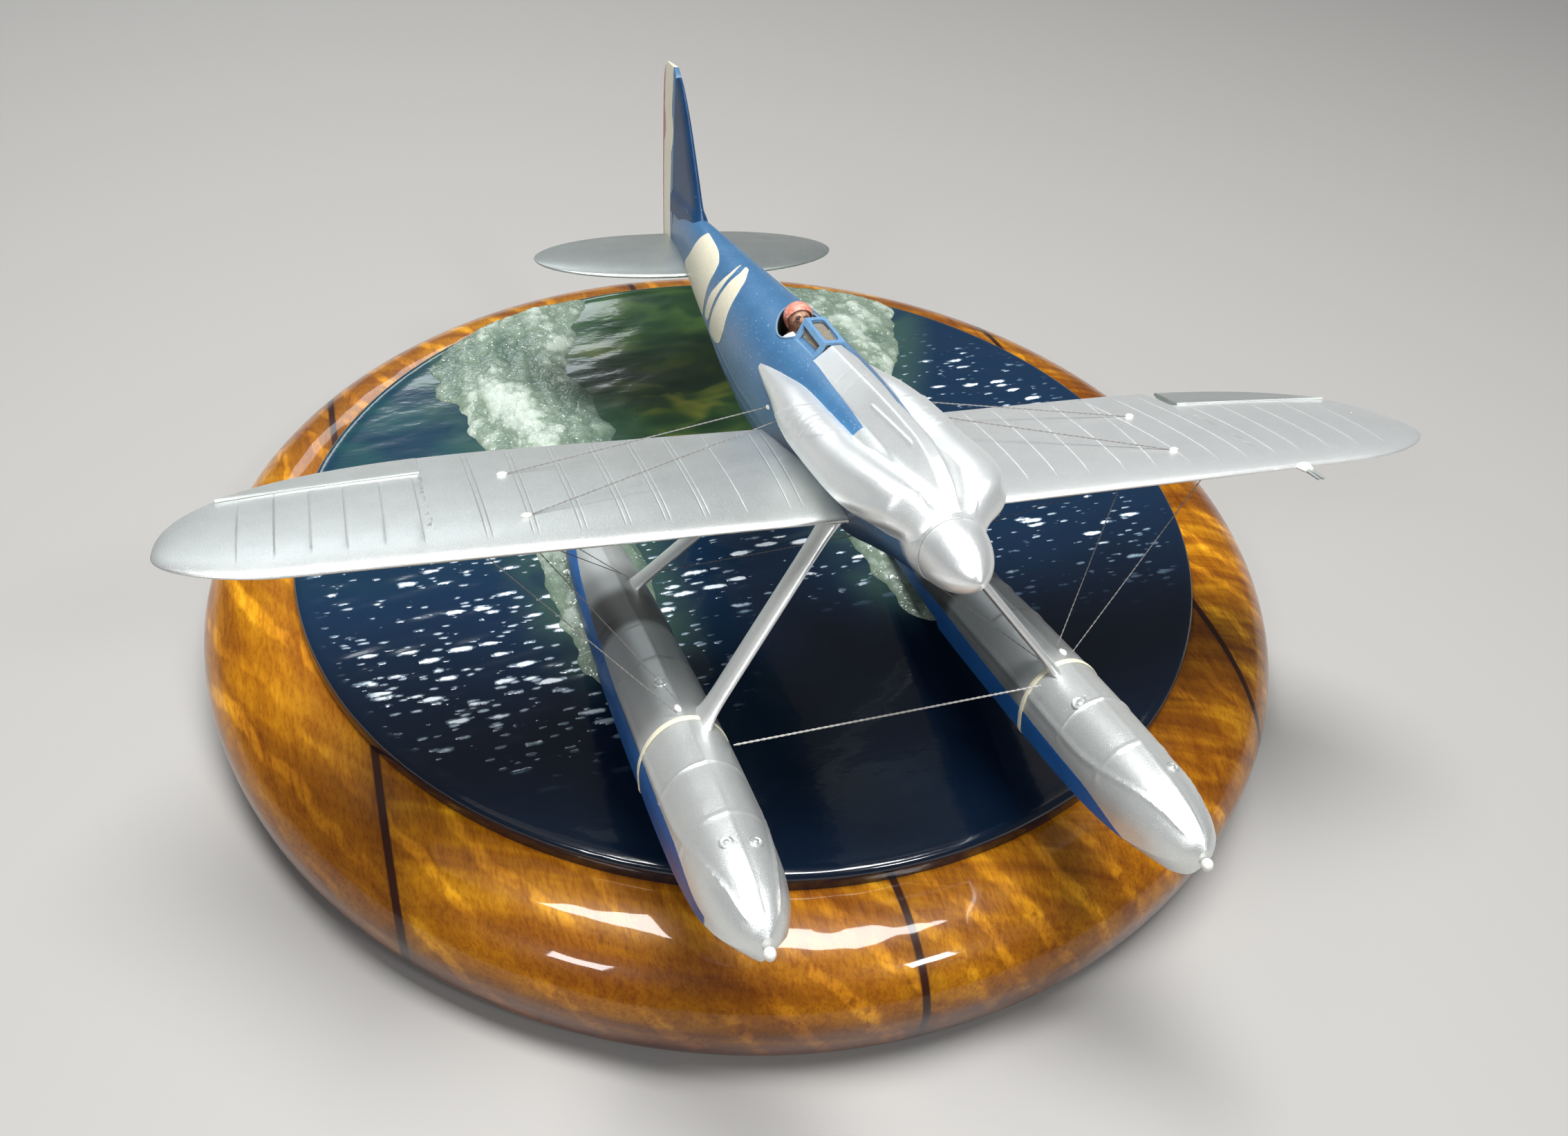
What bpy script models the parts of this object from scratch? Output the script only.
"""Plastic scale model of a single-seat racing floatplane, on a turned wooden plinth with a cast sea disc.

The plinth is built in the world frame, standing on z = 0. The aircraft is built in its own frame,
with the spinner tip at the origin, +X to port, +Y aft and +Z up, and an empty holds its attitude.
"""
import math

import bmesh
import bpy
from mathutils import Vector

MM = 0.001          # the tables below are in millimetres

# Plinth
WOOD_RADIUS = 62.2
WOOD_HEIGHT = 13.5
WOOD_FLAT_RADIUS = 53.0
NOSE_HEIGHT = 6.7       # height of the widest line above the underside
FOOT_RADIUS = 59.6
SEA_RADIUS = 51.6
SEA_THICKNESS = 2.1
SEA_EDGE = 0.35

# Attitude of the aircraft over the sea
SPINNER_TIP_AT = (-1.1, -54.8, WOOD_HEIGHT + 39.9)
NOSE_UP_DEG = 12.0
BANK_DEG = 2.8

# Fits between pieces
GAP = 0.05
SHAFT_FIT = 0.08        # radial play of the spinner's shaft in its bore
SEAT_REACH = 1.0        # how far a strut runs past its seat before it is cut to it

# Airframe
HALF_SPAN = 56.6
WING_ROOT_LE = 16.4
WING_ROOT_TE = 36.4
WING_HEIGHT = -2.9      # of the front edge at the root
WING_DROP = 0.65        # of the rear edge below the front edge
WING_RISE = 0.58        # of the tip above the root
WING_THICKNESS = 0.09   # of the chord
TIP_STATION = 21.6
TAIL_HALF_SPAN = 18.4
TAIL_LE = 75.9
TAIL_TE = 92.8
TAIL_TIP_STATION = 84.7
TAIL_HEIGHT = -1.6
TAIL_THICKNESS = 0.085  # of the chord
SPINNER_LENGTH = 4.9
SHAFT_RADIUS = 0.6
SHAFT_LENGTH = 4.0
SHAFT_SIDES = 32
FLOAT_TRACK = 17.8      # half of the track
WIRE_RADIUS = 0.11

BLUE = (0.020, 0.085, 0.235, 1.0)
SILVER = (0.56, 0.57, 0.58, 1.0)
CREAM = (0.72, 0.66, 0.50, 1.0)
WOOD = (0.42, 0.17, 0.03, 1.0)
SEA = (0.008, 0.025, 0.06, 1.0)
FOAM = (0.80, 0.82, 0.80, 1.0)
LEATHER = (0.30, 0.10, 0.05, 1.0)
CLEAR = (0.75, 0.78, 0.72, 1.0)


def empty_scene():
    for item in list(bpy.data.objects):
        bpy.data.objects.remove(item, do_unlink=True)


def collection(name):
    made = bpy.data.collections.new(name)
    bpy.context.scene.collection.children.link(made)
    return made


empty_scene()
PARTS = collection("floatplane_on_plinth")
CUTTERS = collection("cutters")
DATUM = bpy.data.objects.new("aircraft_datum", None)
PARTS.objects.link(DATUM)
DATUM.location = Vector(SPINNER_TIP_AT) * MM
DATUM.rotation_mode = "YXZ"
DATUM.rotation_euler = (math.radians(-NOSE_UP_DEG), math.radians(BANK_DEG), 0.0)


def material(name, colour, roughness, metallic=0.0):
    made = bpy.data.materials.new(name)
    made.use_nodes = True
    shader = made.node_tree.nodes["Principled BSDF"]
    shader.inputs["Base Color"].default_value = colour
    shader.inputs["Roughness"].default_value = roughness
    shader.inputs["Metallic"].default_value = metallic
    return made


def new_object(name, mesh, finish, aircraft=True, cutter=False):
    """Link a mesh as a piece of the aircraft or of the plinth, or as a cutter."""
    made = bpy.data.objects.new(name, mesh)
    if cutter:
        CUTTERS.objects.link(made)
        made.hide_render = True
        made.display_type = "WIRE"
    else:
        PARTS.objects.link(made)
        mesh.materials.append(material(name, *finish))
    if aircraft:
        made.parent = DATUM
    return made


def shade(mesh, angle=35.0):
    mesh.shade_smooth()
    mesh.set_sharp_from_angle(angle=math.radians(angle))


def loft(name, rings, finish=None, aircraft=True, cutter=False):
    """Close a skin over rings of points given in millimetres; a ring of one point is a tip."""
    work = bmesh.new()
    rows = [[work.verts.new(Vector(point) * MM) for point in ring] for ring in rings]
    for row, following in zip(rows, rows[1:]):
        count = max(len(row), len(following))
        for index in range(count):
            nxt = (index + 1) % count
            if len(row) == 1:
                work.faces.new((row[0], following[nxt], following[index]))
            elif len(following) == 1:
                work.faces.new((row[index], row[nxt], following[0]))
            else:
                work.faces.new((row[index], row[nxt], following[nxt], following[index]))
    if len(rows[0]) > 1:
        work.faces.new(list(reversed(rows[0])))
    if len(rows[-1]) > 1:
        work.faces.new(rows[-1])
    bmesh.ops.recalc_face_normals(work, faces=work.faces)
    mesh = bpy.data.meshes.new(name)
    work.to_mesh(mesh)
    work.free()
    shade(mesh)
    return new_object(name, mesh, finish, aircraft, cutter)


def turned(name, profile, finish, segments, aircraft, cutter=False):
    """Turn a profile of (radius, height) pairs about Z; the profile runs top to bottom."""
    mesh = bpy.data.meshes.new(name)
    points = [(radius * MM, 0.0, height * MM) for radius, height in profile]
    edges = [(index, index + 1) for index in range(len(points) - 1)]
    mesh.from_pydata(points, edges, [])
    made = new_object(name, mesh, finish, aircraft, cutter)
    screw = made.modifiers.new("turn", "SCREW")
    screw.steps = segments
    screw.render_steps = segments
    screw.use_merge_vertices = True
    screw.merge_threshold = 1e-6
    return made


def swollen_copy(source, amount=GAP):
    """A cutter: the base form of a piece, swollen by the gap that its neighbour keeps."""
    made = new_object(source.name + "_space", source.data.copy(), None, aircraft=True, cutter=True)
    made.parent = source.parent
    swell = made.modifiers.new("swell", "DISPLACE")
    swell.mid_level = 0.0
    swell.strength = amount * MM
    return made


def cut(target, cutter, operation="DIFFERENCE"):
    step = target.modifiers.new(operation.lower(), "BOOLEAN")
    step.operation = operation
    step.solver = "EXACT"
    step.object = cutter
    return step


def signed_power(value, power):
    return math.copysign(abs(value) ** power, value)


def superellipse(centre, half_a, half_b, power, count, plane):
    """A ring round a centre, in the plane named by its two letters."""
    ring = []
    for index in range(count):
        angle = 2.0 * math.pi * index / count
        a = half_a * signed_power(math.cos(angle), 2.0 / power)
        b = half_b * signed_power(math.sin(angle), 2.0 / power)
        shift = {"xz": (a, 0.0, b), "yz": (0.0, a, b), "xy": (a, b, 0.0)}[plane]
        ring.append(tuple(c + s for c, s in zip(centre, shift)))
    return ring


def both_sides(name, maker):
    """Make the port piece and its mirror image, each as its own solid."""
    return [maker(name + "_port", 1.0), maker(name + "_starboard", -1.0)]


# Plinth

def arc(centre_r, centre_z, semi_r, semi_z, start, end, count):
    steps = [math.radians(start + (end - start) * k / count) for k in range(count + 1)]
    return [(centre_r + semi_r * math.cos(t), centre_z + semi_z * math.sin(t)) for t in steps]


def make_plinth():
    upper = arc(WOOD_FLAT_RADIUS, NOSE_HEIGHT, WOOD_RADIUS - WOOD_FLAT_RADIUS,
                WOOD_HEIGHT - NOSE_HEIGHT, 90, 0, 9)
    lower = arc(FOOT_RADIUS, NOSE_HEIGHT, WOOD_RADIUS - FOOT_RADIUS, NOSE_HEIGHT - 0.3, 0, -90, 4)
    profile = [(0.0, WOOD_HEIGHT)] + upper + lower[1:] + [(FOOT_RADIUS - 0.3, 0.0), (0.0, 0.0)]
    return turned("plinth_base", profile, (WOOD, 0.18), 96, False)


def make_sea():
    top = WOOD_HEIGHT + SEA_THICKNESS
    bottom = WOOD_HEIGHT + GAP
    profile = [(0.0, top), (SEA_RADIUS - SEA_EDGE, top), (SEA_RADIUS, top - SEA_EDGE),
               (SEA_RADIUS, bottom), (0.0, bottom)]
    return turned("sea_disc", profile, (SEA, 0.12), 96, False)


# station along the wake, centre, half width and height of the foam ridge
WAKE_ROWS = {
    "starboard": [(-25.5, -19.8, 2.2, 0.5), (-20.0, -19.6, 4.6, 1.2), (-8.0, -19.9, 5.4, 1.9),
                  (4.0, -19.6, 6.4, 2.2), (16.0, -19.9, 7.4, 2.1), (25.0, -21.4, 8.6, 2.0),
                  (33.0, -23.4, 8.8, 1.9), (42.0, -22.0, 9.4, 1.6), (52.0, -16.5, 9.0, 1.2)],
    "port": [(-23.5, 14.4, 2.0, 0.5), (-18.0, 14.7, 3.4, 1.1), (-8.0, 15.0, 5.2, 1.7),
             (4.0, 15.6, 6.4, 2.0), (16.0, 17.4, 7.2, 2.0), (25.0, 20.2, 8.0, 1.9),
             (33.0, 22.8, 8.8, 1.8), (42.0, 24.4, 8.8, 1.5), (50.0, 24.0, 8.4, 1.2)],
}
WAKE_REACH = SEA_RADIUS - SEA_EDGE - 0.3    # the foam stops at the disc's rim


def make_wake(side):
    base = WOOD_HEIGHT + SEA_THICKNESS + GAP
    rings = []
    for station, centre, half_width, height in WAKE_ROWS[side]:
        ring = []
        for index in range(9):
            turn = math.pi * index / 8
            lift = height * math.sin(turn) ** 0.7 if 0 < index < 8 else 0.0
            ring.append((centre + half_width * math.cos(turn), station, base + lift))
        rings.append(ring)
    return loft("wake_" + side, rings, (FOAM, 0.35), aircraft=False)


def make_wake_limit():
    low, high = WOOD_HEIGHT, WOOD_HEIGHT + 9.0
    profile = [(0.0, high), (WAKE_REACH, high), (WAKE_REACH, low), (0.0, low)]
    return turned("wake_limit", profile, None, 96, False, cutter=True)


# Fuselage

# station, half width, top, bottom, squareness
FUSELAGE_ROWS = [
    (5.1, 2.85, 2.85, -2.9, 2.0),
    (6.2, 3.25, 3.2, -3.1, 2.1),
    (8.0, 3.5, 3.5, -3.4, 2.1),
    (11.0, 3.8, 3.9, -4.1, 2.15),
    (15.0, 4.05, 4.3, -5.3, 2.2),
    (20.0, 4.4, 4.8, -6.7, 2.3),
    (26.0, 4.8, 5.2, -7.4, 2.3),
    (32.0, 5.1, 5.3, -7.8, 2.3),
    (38.0, 5.2, 5.3, -8.0, 2.3),
    (44.0, 5.1, 5.3, -8.0, 2.3),
    (50.0, 4.7, 5.1, -7.6, 2.2),
    (56.0, 4.2, 4.9, -6.9, 2.2),
    (63.0, 3.5, 4.8, -5.8, 2.1),
    (70.0, 2.8, 4.7, -4.7, 2.1),
    (76.0, 2.1, 4.6, -3.9, 2.0),
    (82.0, 1.4, 4.4, -3.4, 2.0),
    (88.4, 0.7, 4.2, -3.1, 2.0),
]
# the cockpit's opening: a blunt front half and a tapering rear half, from its widest station
COCKPIT_FRONT = 37.0
COCKPIT_WIDEST = 39.5
COCKPIT_REAR = 44.6
COCKPIT_HALF_WIDTH = 2.85
COCKPIT_BLUNTNESS = {"front": 2.6, "rear": 1.5}
COCKPIT_FLOOR = -1.5


def cockpit_outline(z, count=32):
    ring = []
    for index in range(count):
        angle = 2.0 * math.pi * index / count
        end = "rear" if math.sin(angle) > 0.0 else "front"
        power = COCKPIT_BLUNTNESS[end]
        reach = COCKPIT_REAR - COCKPIT_WIDEST if end == "rear" else COCKPIT_WIDEST - COCKPIT_FRONT
        ring.append((COCKPIT_HALF_WIDTH * signed_power(math.cos(angle), 2.0 / power),
                     COCKPIT_WIDEST + reach * signed_power(math.sin(angle), 2.0 / power), z))
    return ring


def make_fuselage():
    rings = [superellipse((0.0, y, (top + bottom) / 2), width, (top - bottom) / 2, power, 28, "xz")
             for y, width, top, bottom, power in FUSELAGE_ROWS]
    body = loft("fuselage", rings, (BLUE, 0.32))
    over_the_rim = 9.0
    well = [cockpit_outline(COCKPIT_FLOOR), cockpit_outline(over_the_rim)]
    cut(body, loft("cockpit_well", well, cutter=True))
    radius = SHAFT_RADIUS + SHAFT_FIT
    bore = [superellipse((0.0, y, 0.0), radius, radius, 2.0, SHAFT_SIDES, "xz")
            for y in (SPINNER_LENGTH - 1.0, SPINNER_LENGTH + SHAFT_LENGTH + 0.5)]
    cut(body, loft("shaft_bore", bore, cutter=True))
    return body


# the centre bank's cover: station, half width of the flanks and of the flat top, their heights
CENTRE_BANK_ROWS = [
    (5.3, 0.9, 0.5, 2.3, 2.8),
    (6.4, 1.4, 0.65, 3.0, 3.9),
    (8.0, 1.8, 0.7, 3.6, 4.9),
    (10.0, 2.1, 0.7, 4.1, 5.7),
    (13.0, 2.2, 0.65, 4.35, 6.2),
    (20.0, 2.2, 0.62, 4.45, 6.35),
    (26.0, 2.3, 0.62, 4.7, 6.3),
    (31.7, 2.25, 0.62, 4.85, 6.25),
]
CENTRE_BANK_SEAT = 1.6      # where its flanks end, inside the fuselage before they are cut to it

# a side bank's cover: station, centre sideways, centre height, radius
SIDE_BANK_ROWS = [
    (5.1, 1.9, 2.0, 0.8),
    (5.9, 2.6, 2.45, 1.3),
    (7.2, 3.3, 2.75, 1.85),
    (9.5, 3.95, 2.6, 2.25),
    (13.0, 4.3, 2.2, 2.42),
    (18.0, 4.58, 1.85, 2.28),
    (25.0, 4.62, 1.72, 2.24),
    (29.0, 4.43, 1.78, 1.99),
    (33.0, 4.32, 1.76, 1.43),
    (36.3, 4.35, 1.72, 0.95),
    (38.8, 4.45, 1.75, 0.45),
]


def faceted_ring(y, half_width, half_top, shoulder, top):
    """A flat top between two sloping facets, over upright flanks."""
    facet_x, facet_z = half_top * 0.8, top - (top - shoulder) * 0.06
    right = [(half_width, CENTRE_BANK_SEAT), (half_width, shoulder),
             (half_top + (half_width - half_top) * 0.12, shoulder + (top - shoulder) * 0.86)]
    right += [(half_top, facet_z), (facet_x, top)]
    left = [(-x, z) for x, z in reversed(right)]
    return [(x, y, z) for x, z in right + left]


def make_banks(fuselage_space):
    centre = loft("bank_fairing_centre", [faceted_ring(*row) for row in CENTRE_BANK_ROWS], (SILVER, 0.3, 0.7))
    cut(centre, fuselage_space)
    centre_space = swollen_copy(centre)

    def side(name, sign):
        hoops = [superellipse((sign * x, y, z), radius, radius, 2.0, 20, "xz")
                 for y, x, z, radius in SIDE_BANK_ROWS]
        cover = loft(name, hoops, (SILVER, 0.3, 0.7))
        cut(cover, fuselage_space)
        cut(cover, centre_space)
        return cover

    return [centre] + both_sides("bank_fairing", side)


def make_spinner():
    # station behind the tip and radius
    profile = [(0.0, 0.0), (0.12, 0.3), (0.35, 0.66), (0.75, 1.1), (1.3, 1.55), (2.0, 1.98), (3.0, 2.42),
               (4.0, 2.7), (SPINNER_LENGTH, 2.85)]
    profile += [(SPINNER_LENGTH, SHAFT_RADIUS), (SPINNER_LENGTH + SHAFT_LENGTH, SHAFT_RADIUS)]
    rings = [[(0.0, 0.0, 0.0)]]
    rings += [superellipse((0.0, y, 0.0), r, r, 2.0, SHAFT_SIDES, "xz") for y, r in profile[1:]]
    return loft("spinner", rings, (SILVER, 0.25, 0.8))


# Wings and tail

def blunt_tip(distance, start, end, power):
    """How far an edge has curved in, from 0 at the start of the curve to 1 at the tip."""
    if distance <= start:
        return 0.0
    across = min((distance - start) / (end - start), 1.0)
    return 1.0 - (1.0 - across ** power) ** (1.0 / power)


def wing_edges(x):
    front = WING_ROOT_LE + blunt_tip(x, 46.5, HALF_SPAN, 1.92) * (TIP_STATION - WING_ROOT_LE)
    rear = WING_ROOT_TE - blunt_tip(x, 26.7, HALF_SPAN, 2.38) * (WING_ROOT_TE - TIP_STATION)
    return front, rear


def wing_middle(x, y):
    """Height of the wing's middle surface: it rises towards the tip and drops towards the rear edge."""
    back = (y - WING_ROOT_LE) / (WING_ROOT_TE - WING_ROOT_LE)
    return WING_HEIGHT + WING_RISE * x / HALF_SPAN - WING_DROP * back


# parts of the chord and of the greatest half thickness, round the section from the rear edge
SECTION = [(1.0, 0.12), (0.8, 0.42), (0.6, 0.78), (0.4, 0.98), (0.25, 1.0), (0.12, 0.82),
           (0.03, 0.45), (0.0, 0.0)]


def half_thickness(y, front, rear, thickness):
    """Half the thickness of a section at a station along its chord."""
    part = (y - front) / (rear - front)
    for (rear_part, rear_height), (front_part, front_height) in zip(SECTION, SECTION[1:]):
        if part >= front_part:
            along = (part - front_part) / (rear_part - front_part)
            height = front_height + along * (rear_height - front_height)
            return (rear - front) * thickness / 2 * height
    return 0.0


def aerofoil(x, sign, edges, middle, thickness):
    """A section ring at one station across: over the top from the rear edge, and back underneath."""
    front, rear = edges
    stations = [front + (rear - front) * part for part, height in SECTION]
    upper = [(sign * x, y, middle(x, y) + half_thickness(y, front, rear, thickness)) for y in stations]
    lower = [(sign * x, y, middle(x, y) - half_thickness(y, front, rear, thickness)) for y in stations[:-1]]
    return upper + list(reversed(lower))


WING_STATIONS = [3.3, 12.0, 24.0, 30.0, 36.0, 40.0, 44.0, 48.0, 51.0, 53.3, 55.0, 56.0, 56.45]
AILERON_INNER = 36.5
AILERON_OUTER = 52.4
HINGE_INNER = 31.8
HINGE_OUTER = 30.1


def hinge_line(x):
    part = (x - AILERON_INNER) / (AILERON_OUTER - AILERON_INNER)
    return HINGE_INNER + part * (HINGE_OUTER - HINGE_INNER)


def make_wing(name, sign, fuselage_space):
    rings = [aerofoil(x, sign, wing_edges(x), wing_middle, WING_THICKNESS) for x in WING_STATIONS]
    wing = loft(name, rings, (SILVER, 0.35, 0.6))
    cut(wing, fuselage_space)
    beyond = WING_ROOT_TE + 9.0
    bay = []
    for z in (WING_HEIGHT - 3.0, WING_HEIGHT + 3.0):
        bay.append([(sign * (AILERON_INNER - GAP), hinge_line(AILERON_INNER) - GAP, z),
                    (sign * (AILERON_OUTER + GAP), hinge_line(AILERON_OUTER) - GAP, z),
                    (sign * (AILERON_OUTER + GAP), beyond, z),
                    (sign * (AILERON_INNER - GAP), beyond, z)])
    cut(wing, loft(name + "_aileron_bay", bay, cutter=True))
    return wing


AILERON_STATIONS = 7
AILERON_NOSE = 0.62         # half its height at the hinge, a step above the wing
AILERON_TAIL = 0.14
AILERON_LEAST_CHORD = 0.35


def make_aileron(name, sign):
    """The aileron is a little thicker than the wing at its hinge, so its front edge shows as a step."""
    rings = []
    for index in range(AILERON_STATIONS):
        part = index / (AILERON_STATIONS - 1)
        x = AILERON_INNER + (AILERON_OUTER - AILERON_INNER) * part
        hinge = hinge_line(x)
        rear = max(wing_edges(x)[1], hinge + AILERON_LEAST_CHORD)
        nose = AILERON_NOSE * (1.0 - 0.3 * part)
        front_z, rear_z = wing_middle(x, hinge), wing_middle(x, rear)
        rings.append([(sign * x, rear, rear_z + AILERON_TAIL), (sign * x, hinge, front_z + nose),
                      (sign * x, hinge, front_z - nose), (sign * x, rear, rear_z - AILERON_TAIL)])
    return loft(name, rings, (SILVER, 0.3, 0.6))


TAIL_STATIONS = [0.75, 4.0, 8.0, 11.5, 14.0, 16.0, 17.4, 18.1, 18.3]


def tail_edges(x):
    front = TAIL_LE + blunt_tip(x, 1.5, TAIL_HALF_SPAN, 2.04) * (TAIL_TIP_STATION - TAIL_LE)
    rear = TAIL_TE - blunt_tip(x, 4.3, TAIL_HALF_SPAN, 1.9) * (TAIL_TE - TAIL_TIP_STATION)
    return front, rear


def make_tailplane(name, sign, fuselage_space):
    rings = [aerofoil(x, sign, tail_edges(x), lambda x, y: TAIL_HEIGHT, TAIL_THICKNESS) for x in TAIL_STATIONS]
    tail = loft(name, rings, (SILVER, 0.35, 0.6))
    cut(tail, fuselage_space)
    return tail


# height, front edge of the fin, rear edge of the rudder, thickness
FIN_ROWS = [
    (3.0, 74.6, 95.8, 1.3),
    (4.8, 76.9, 95.9, 1.25),
    (8.6, 79.6, 96.0, 1.15),
    (13.3, 82.9, 96.0, 1.0),
    (16.2, 85.3, 95.8, 0.85),
    (18.2, 87.6, 95.2, 0.7),
    (19.1, 89.8, 93.9, 0.55),
]
STERN_POST = 88.6


def fin_ring(z, front, rear, thickness, from_rear):
    half = thickness / 2
    if from_rear:
        edge = min(0.14, half)
        return [(half, front, z), (half * 0.8, (front + rear) / 2, z), (edge, rear, z),
                (-edge, rear, z), (-half * 0.8, (front + rear) / 2, z), (-half, front, z)]
    nose = min(1.4, (rear - front) / 3)
    return [(half, rear, z), (half, front + 2 * nose, z), (half * 0.6, front + nose * 0.5, z),
            (0.0, front, z), (-half * 0.6, front + nose * 0.5, z), (-half, front + 2 * nose, z),
            (-half, rear, z)]


def make_fin(fuselage_space):
    rings = [fin_ring(z, min(front, STERN_POST - 0.6), STERN_POST, thickness, False)
             for z, front, rear, thickness in FIN_ROWS[:-1]]
    fin = loft("fin", rings, (BLUE, 0.32))
    cut(fin, fuselage_space)
    return fin


def make_rudder():
    hinge = STERN_POST + 2 * GAP
    rings = [fin_ring(-3.1, hinge, 95.6, 1.0, True)]
    rings += [fin_ring(z, max(front, hinge), rear, thickness, True)
              for z, front, rear, thickness in FIN_ROWS]
    return loft("rudder", rings, (BLUE, 0.32))


# Cockpit

# the screen's two ends: stations of the sill and the roof, the roof's height, half widths of sill and roof
SCREEN_FRONT = (31.8, 32.1, 6.3, 2.3, 1.0)
SCREEN_REAR = (36.9, 37.7, 6.7, 2.45, 0.95)
SILL_HEIGHT = 4.6
SILL_DEPTH = 0.35       # how far the inner sections reach under the sill
FRAME_WALL = 0.25
GLASS_WALL = 0.2
GLASS_INSET = 0.4


def screen_section(end, inset, past=0.0):
    """A section across the screen, sill to roof to sill; an inset one also reaches under the sill."""
    sill_y, roof_y, roof_z, sill_x, roof_x = end
    sill_x, sill_z = sill_x - inset, SILL_HEIGHT - (SILL_DEPTH if inset else 0.0)
    roof_x, roof_z = roof_x - inset * 0.8, roof_z - inset
    return [(sill_x, sill_y + past, sill_z), (roof_x, roof_y + past, roof_z),
            (-roof_x, roof_y + past, roof_z), (-sill_x, sill_y + past, sill_z)]


def screen_shell(name, inset, wall, finish):
    outside = [screen_section(SCREEN_FRONT, inset), screen_section(SCREEN_REAR, inset, -inset)]
    inside = [screen_section(SCREEN_FRONT, inset + wall, -1.0), screen_section(SCREEN_REAR, inset + wall, 1.0)]
    shell = loft(name, outside, finish)
    cut(shell, loft(name + "_inside", inside, cutter=True))
    return shell


def make_screen(fuselage_space):
    """A faceted screen behind the centre bank: a roof pane and two side panes in a frame."""
    frame = screen_shell("windscreen_frame", 0.0, FRAME_WALL, (BLUE, 0.35))
    roof = [superellipse((0.0, 34.9, z), 0.67, 2.25, 6.0, 16, "xy") for z in (5.5, 9.0)]
    cut(frame, loft("screen_roof_window", roof, cutter=True))
    sides = [[(x, 32.35, 5.05), (x, 36.7, 5.05), (x, 37.15, 6.25), (x, 32.55, 5.95)] for x in (-4.0, 4.0)]
    cut(frame, loft("screen_side_windows", sides, cutter=True))
    glass = screen_shell("windscreen_glass", GLASS_INSET, GLASS_WALL, (CLEAR, 0.1))
    cut(frame, fuselage_space)
    cut(glass, fuselage_space)


def ball(name, centre, radius, finish, cutter=False):
    mesh = bpy.data.meshes.new(name)
    work = bmesh.new()
    bmesh.ops.create_uvsphere(work, u_segments=16, v_segments=10, radius=radius * MM)
    bmesh.ops.translate(work, verts=work.verts, vec=Vector(centre) * MM)
    work.to_mesh(mesh)
    work.free()
    shade(mesh)
    return new_object(name, mesh, finish, cutter=cutter)


# height, station, half width and half depth of the pilot's body
PILOT_ROWS = [(-1.3, 41.7, 1.7, 1.3), (1.6, 41.7, 1.75, 1.3), (3.0, 41.8, 1.55, 1.1), (3.7, 42.1, 0.7, 0.7),
              (4.4, 42.2, 0.7, 0.7)]
PILOT_HEAD = (0.0, 42.2, 5.15)
HEAD_RADIUS = 1.45


def make_pilot():
    rings = [superellipse((0.0, y, z), width, depth, 2.4, 16, "xy") for z, y, width, depth in PILOT_ROWS]
    torso = loft("pilot", rings, (LEATHER, 0.6))
    head = ball("pilot_head", PILOT_HEAD, HEAD_RADIUS, None, cutter=True)
    cut(torso, head, "UNION")


# Floats

# station, deck height, half beam, chine height, keel height
FLOAT_ROWS = [
    (-8.9, -21.2, 0.45, -22.3, -22.8),
    (-8.3, -20.5, 1.3, -22.6, -24.0),
    (-7.2, -19.9, 2.15, -23.1, -25.2),
    (-5.0, -19.25, 3.0, -23.8, -26.5),
    (-1.5, -18.8, 3.6, -24.6, -27.4),
    (4.0, -18.6, 3.9, -25.2, -28.2),
    (12.0, -18.7, 4.0, -25.6, -28.8),
    (22.0, -19.1, 4.0, -25.9, -29.0),
    (33.0, -19.9, 3.9, -26.2, -29.0),
    (34.0, -20.0, 3.9, -25.6, -28.2),
    (44.0, -21.0, 3.6, -25.4, -27.6),
    (54.0, -22.2, 3.0, -25.1, -26.7),
    (63.0, -23.3, 1.8, -24.9, -25.8),
    (69.0, -24.1, 0.5, -24.7, -25.0),
]


def float_ring(x, y, deck, beam, chine, keel):
    height = deck - chine
    right = [(0.0, deck), (0.38, deck - 0.05 * height), (0.72, deck - 0.2 * height), (0.94, deck - 0.48 * height),
             (1.0, deck - 0.72 * height), (0.97, chine), (0.5, (chine + keel) / 2 - 0.1)]
    left = [(-part, z) for part, z in reversed(right[1:])]
    return [(x + part * beam, y, z) for part, z in right + [(0.0, keel)] + left]


def make_float(name, sign):
    rings = [float_ring(sign * FLOAT_TRACK, *row) for row in FLOAT_ROWS]
    return loft(name, rings, (SILVER, 0.3, 0.6))


def make_fender(name, sign):
    return ball(name, (sign * FLOAT_TRACK, -9.45, -22.3), 0.5, (CREAM, 0.5))


# Struts and wires

# name: where it meets the float's deck (sideways, along, up) and the fuselage, chord, thickness
STRUTS = {
    "strut_front": ((16.2, 14.6, -19.1), (3.3, 19.7, -5.5), 2.0, 0.85),
    "strut_rear": ((16.3, 42.6, -21.1), (3.3, 34.9, -6.7), 1.9, 0.8),
}

# parts of the chord and of the thickness, round a streamlined section from the rear edge
STREAMLINE = [(0.5, 0.0), (0.2, 0.42), (-0.15, 0.5), (-0.42, 0.3), (-0.5, 0.0), (-0.42, -0.3),
              (-0.15, -0.5), (0.2, -0.42)]


def streamline(centre, chord, thickness):
    x, y, z = centre
    return [(x + thickness * across, y + chord * along, z) for along, across in STREAMLINE]


def make_strut(name, sign, foot, top, chord, thickness):
    flip = Vector((sign, 1.0, 1.0))
    foot, top = Vector(foot) * flip, Vector(top) * flip
    past = (top - foot).normalized() * SEAT_REACH
    rings = [streamline(foot - past, chord, thickness), streamline(top + past, chord, thickness)]
    return loft(name, rings, (SILVER, 0.3, 0.6))


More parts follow.
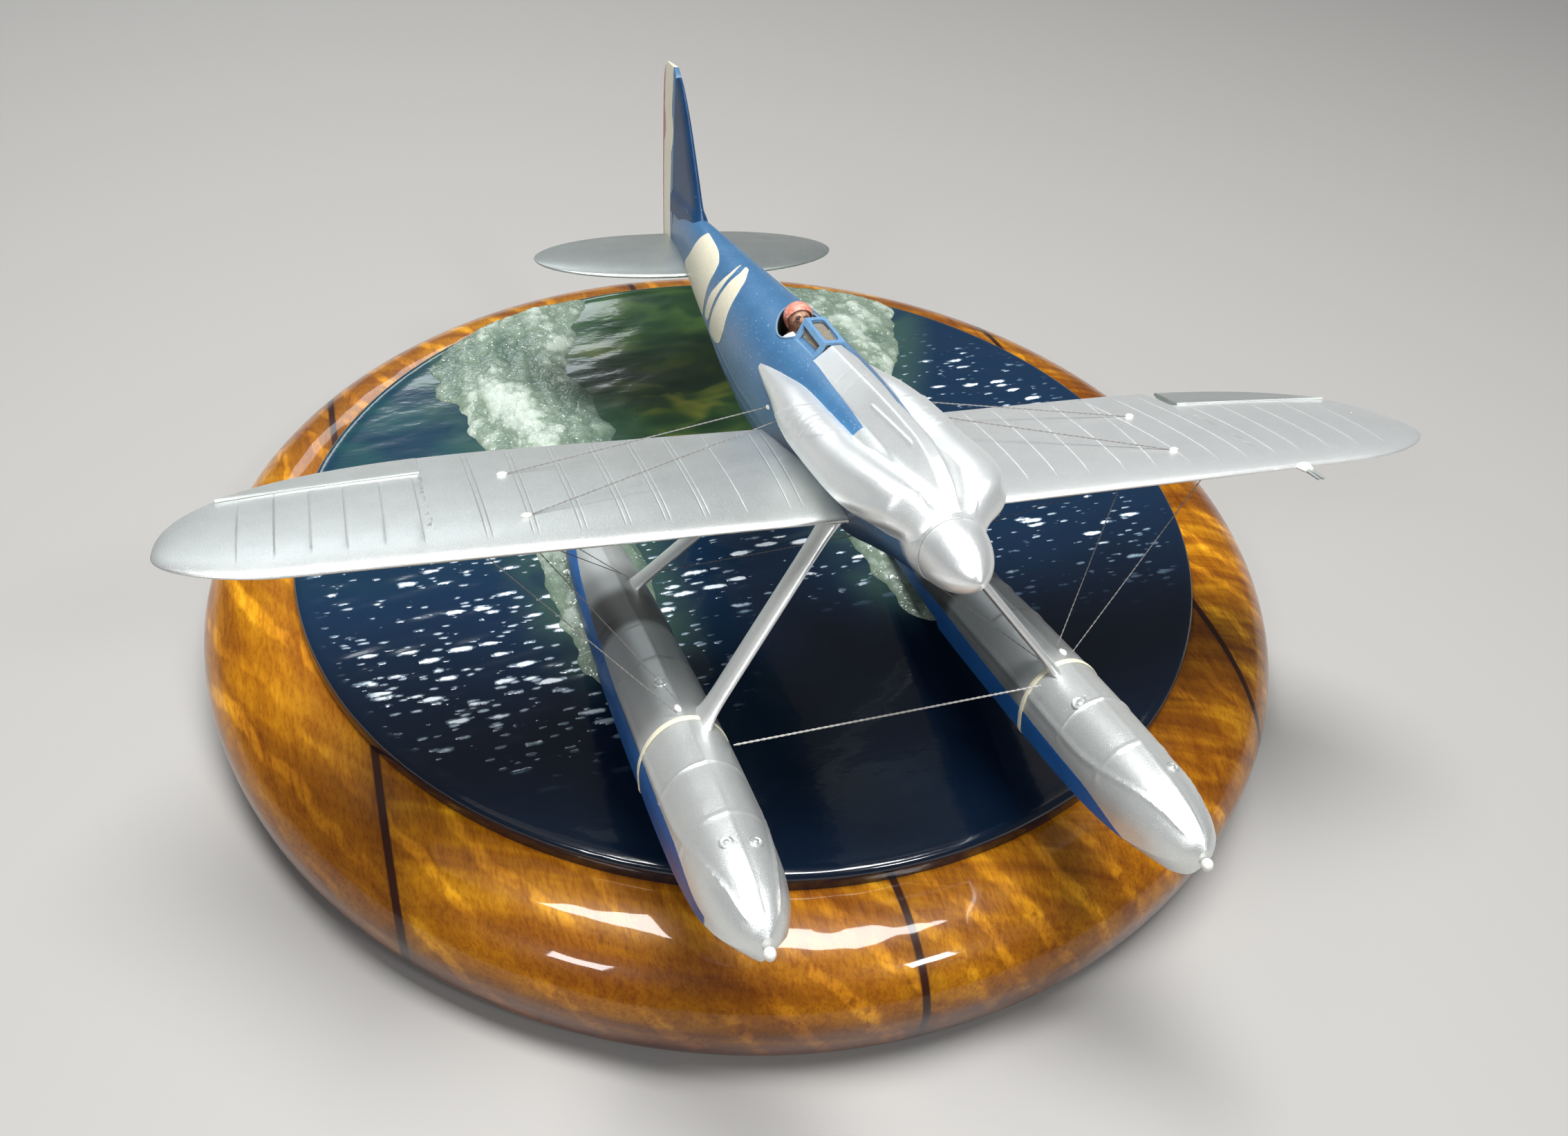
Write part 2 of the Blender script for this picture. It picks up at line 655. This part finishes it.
# where the wires meet the wing's upper and lower skins, sideways and along
UPPER_ANCHOR = {"front": (29.2, 20.9), "rear": (29.9, 29.8)}
LOWER_ANCHOR = {"front": (33.8, 20.9), "rear": (31.7, 29.8)}
BODY_EYE = {"front": (5.35, 30.3, 0.2), "rear": (5.3, 34.5, -0.4)}
FLOAT_EYE = {"front": (18.4, 15.1, -18.6), "rear": (17.9, 16.7, -18.6)}


def on_wing(place, face):
    """A point on the wing's skin, above (face 1) or below (face -1) its middle surface."""
    x, y = place
    return x, y, wing_middle(x, y) + face * half_thickness(y, *wing_edges(x), WING_THICKNESS)


def make_wire(name, start, end):
    curve = bpy.data.curves.new(name, "CURVE")
    curve.dimensions = "3D"
    curve.bevel_depth = WIRE_RADIUS * MM
    curve.bevel_resolution = 2
    curve.use_fill_caps = True
    line = curve.splines.new("POLY")
    line.points.add(1)
    for point, place in zip(line.points, (start, end)):
        point.co = (*(Vector(place) * MM), 1.0)
    made = bpy.data.objects.new(name, curve)
    PARTS.objects.link(made)
    curve.materials.append(material(name, CREAM, 0.7))
    made.parent = DATUM
    return made


def trimmed(start, end, near, far):
    """Stop a wire a little short of what it is tied to, at each end."""
    a, b = Vector(start), Vector(end)
    way = (b - a).normalized()
    return a + way * near, b - way * far


def make_wires():
    for side, sign in (("port", 1.0), ("starboard", -1.0)):
        flip = Vector((sign, 1.0, 1.0))
        for place in ("front", "rear"):
            upper = Vector(on_wing(UPPER_ANCHOR[place], 1)) * flip
            lower = Vector(on_wing(LOWER_ANCHOR[place], -1)) * flip
            body = Vector(BODY_EYE[place]) * flip
            deck = Vector(FLOAT_EYE[place]) * flip
            make_wire("landing_wire_" + place + "_" + side, *trimmed(body, upper, 0.0, 0.25))
            make_wire("flying_wire_" + place + "_" + side, *trimmed(deck, lower, 0.3, 0.25))
    make_wire("spreader_wire", (-14.3, 12.7, -20.1), (14.3, 12.7, -20.1))


PITOT_AT = 40.1         # sideways, on the port wing's front edge
PITOT_TUBES = 0.48      # between the middles of its two tubes
PITOT_REACH = 2.5       # ahead of the wing's front edge


def make_pitot():
    """Two tubes side by side, run into one stub ahead of the wing's front edge."""
    height = wing_middle(PITOT_AT, WING_ROOT_LE)
    seat = WING_ROOT_LE - GAP
    stub = loft("pitot", [superellipse((PITOT_AT, y, height), width, 0.26, 2.5, 12, "xz")
                          for y, width in ((seat, 0.7), (seat - 0.8, 0.5))], (SILVER, 0.3, 0.7))
    for side in (-0.5, 0.5):
        x = PITOT_AT + side * PITOT_TUBES
        tube = [superellipse((x, y, height), 0.17, 0.17, 2.0, 10, "xz") for y in (seat - 0.4, seat - PITOT_REACH)]
        cut(stub, loft("pitot_tube", tube, cutter=True), "UNION")
    return stub


def build():
    make_plinth()
    sea = make_sea()
    fuselage_space = swollen_copy(make_fuselage())
    make_banks(fuselage_space)
    make_spinner()
    both_sides("wing", lambda name, sign: make_wing(name, sign, fuselage_space))
    both_sides("aileron", make_aileron)
    both_sides("tailplane", lambda name, sign: make_tailplane(name, sign, fuselage_space))
    make_fin(fuselage_space)
    make_rudder()
    make_screen(fuselage_space)
    make_pilot()
    both_sides("bow_fender", make_fender)
    wake_limit = make_wake_limit()
    for side, sign in (("port", 1.0), ("starboard", -1.0)):
        float_space = swollen_copy(make_float("float_" + side, sign))
        wake = make_wake(side)
        cut(wake, wake_limit, "INTERSECT")
        cut(wake, float_space)
        cut(sea, float_space)
        for name, sizes in STRUTS.items():
            strut = make_strut(name + "_" + side, sign, *sizes)
            cut(strut, float_space)
            cut(strut, fuselage_space)
    make_wires()
    make_pitot()


build()
